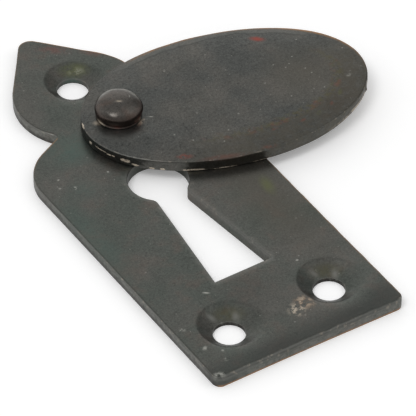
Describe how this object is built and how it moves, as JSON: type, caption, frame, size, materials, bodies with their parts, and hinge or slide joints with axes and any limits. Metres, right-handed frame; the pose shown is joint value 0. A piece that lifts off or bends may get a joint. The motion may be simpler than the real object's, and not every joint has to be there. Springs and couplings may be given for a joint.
{
  "type": "keyhole escutcheon with swing cover",
  "caption": "Flat blackened steel keyhole plate with a pointed finial and countersunk screw holes, and an oval drop cover that turns on a domed rivet to close the keyhole.",
  "frame": {"origin": "centre of the keyhole's round head, in the plane of the plate's back face", "axes": "+Z out of the plate's face, +Y along the plate towards the finial, +X to the right seen from the front"},
  "size_m": [0.0486, 0.0682, 0.0064],
  "materials": {
    "plate_steel": "blackened and waxed sheet steel, dull green-grey, worn at the edges",
    "cover_steel": "blackened and waxed sheet steel, dull grey with brown tints, worn at the edges",
    "rivet_steel": "blackened steel, brown at the foot, soft sheen"
  },
  "bodies": {
    "plate": {"backplate": "plate_steel", "pivot_rivet": "rivet_steel"},
    "cover": {"swing_cover": "cover_steel"}
  },
  "joints": [
    {"name": "cover_pivot", "type": "hinge", "parent": "plate", "child": "cover", "pos_m": [0.0014, 0.0115, 0], "axis": [0, 0, 1], "continuous": true}
  ]
}
